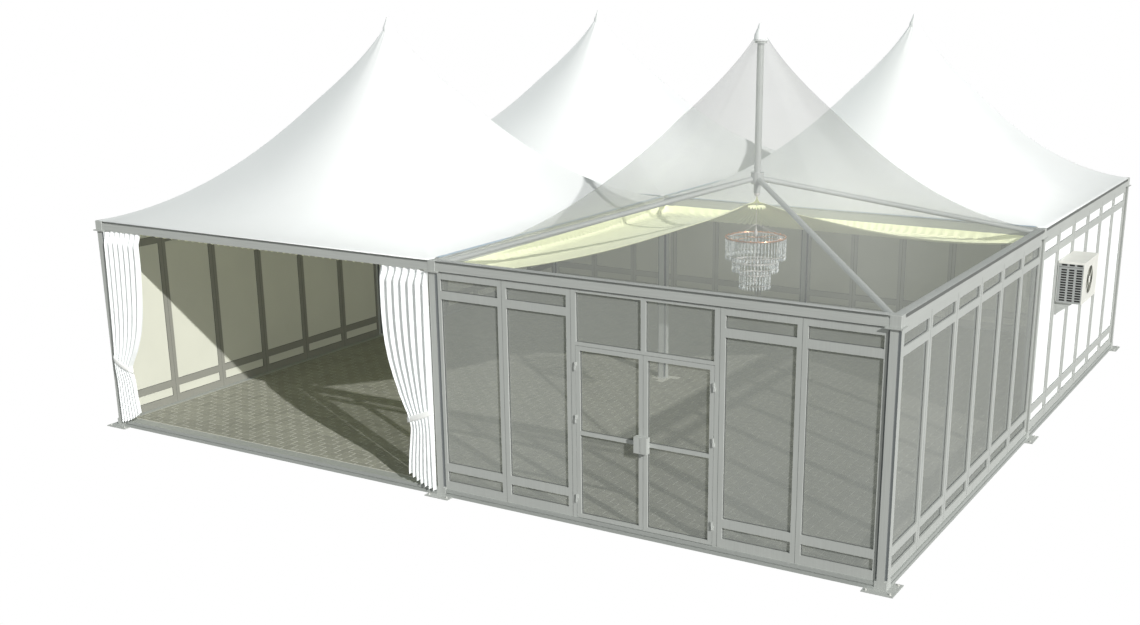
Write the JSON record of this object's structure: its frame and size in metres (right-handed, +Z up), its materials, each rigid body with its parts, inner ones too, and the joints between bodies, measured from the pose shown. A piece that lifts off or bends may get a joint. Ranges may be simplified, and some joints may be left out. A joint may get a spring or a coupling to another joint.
{
  "type": "modular marquee",
  "caption": "Square marquee of joined pagoda bays with peaked roofs, one glazed with a double door, one open with tied curtains, on posts and a floor.",
  "frame": {"origin": "on the ground under the centre post", "axes": "+X along the front wall from the open bay to the glazed bay, +Y from the front to the back, +Z up"},
  "size_m": [12.625, 12.37, 5.905],
  "materials": {
    "satin_aluminium": "satin",
    "white_skin": "coated",
    "clear_film": "clear",
    "white_panel": "satin",
    "tinted_glass": "polished",
    "yellow_lining": "pleated",
    "white_cloth": "soft",
    "floor_tile": "matt",
    "copper": "polished",
    "cream_case": "satin"
  },
  "bodies": {
    "marquee": {"floor_deck": "floor_tile", "post_front_left": "satin_aluminium", "post_centre_left": "satin_aluminium", "post_back_left": "satin_aluminium", "post_front_middle": "satin_aluminium", "post_centre_middle": "satin_aluminium", "post_back_middle": "satin_aluminium", "post_front_right": "satin_aluminium", "post_centre_right": "satin_aluminium", "post_back_right": "satin_aluminium", "eave_beam_front_left": "satin_aluminium", "eave_beam_front_right": "satin_aluminium", "eave_beam_right_front": "satin_aluminium", "eave_beam_right_back": "satin_aluminium", "eave_beam_back_right": "satin_aluminium", "eave_beam_back_left": "satin_aluminium", "eave_beam_left_back": "satin_aluminium", "eave_beam_left_front": "satin_aluminium", "valley_beam_front": "satin_aluminium", "valley_beam_right": "satin_aluminium", "valley_beam_back": "satin_aluminium", "valley_beam_left": "satin_aluminium", "roof_frame_front_left": "satin_aluminium", "roof_frame_front_right": "satin_aluminium", "roof_frame_back_left": "satin_aluminium", "roof_frame_back_right": "satin_aluminium", "base_rail_front": "satin_aluminium", "base_rail_right": "satin_aluminium", "base_rail_back": "satin_aluminium", "base_rail_left": "satin_aluminium", "roof_skin_front_left": "white_skin", "roof_skin_front_right": "clear_film", "roof_skin_back_left": "white_skin", "roof_skin_back_right": "white_skin", "lining_front_left": "yellow_lining", "lining_front_right": "yellow_lining", "lining_back_left": "yellow_lining", "lining_back_right": "yellow_lining", "wall_right_back": "white_panel", "wall_back_right": "white_panel", "wall_back_left": "white_panel", "wall_left_back": "white_panel", "wall_left_front": "white_panel", "wall_right_front_frame": "satin_aluminium", "wall_right_front_glass": "tinted_glass", "sidelight_left_frame": "satin_aluminium", "sidelight_left_glass": "tinted_glass", "sidelight_right_frame": "satin_aluminium", "sidelight_right_glass": "tinted_glass", "door_transom_frame": "satin_aluminium", "door_transom_glass": "tinted_glass", "curtain_left": "white_cloth", "curtain_right": "white_cloth", "chandelier": "copper", "air_conditioner": "cream_case", "air_conditioner_bracket": "satin_aluminium"},
    "door_left": {"door_left_frame": "satin_aluminium", "door_left_glass": "tinted_glass"},
    "door_right": {"door_right_frame": "satin_aluminium", "door_right_glass": "tinted_glass"}
  },
  "joints": [
    {"name": "door_left_hinge", "type": "hinge", "parent": "marquee", "child": "door_left", "pos_m": [2.077, -6.06, 0], "axis": [0, 0, -1], "range_deg": [0, 90]},
    {"name": "door_right_hinge", "type": "hinge", "parent": "marquee", "child": "door_right", "pos_m": [3.923, -6.06, 0], "axis": [0, 0, 1], "range_deg": [0, 90]}
  ]
}
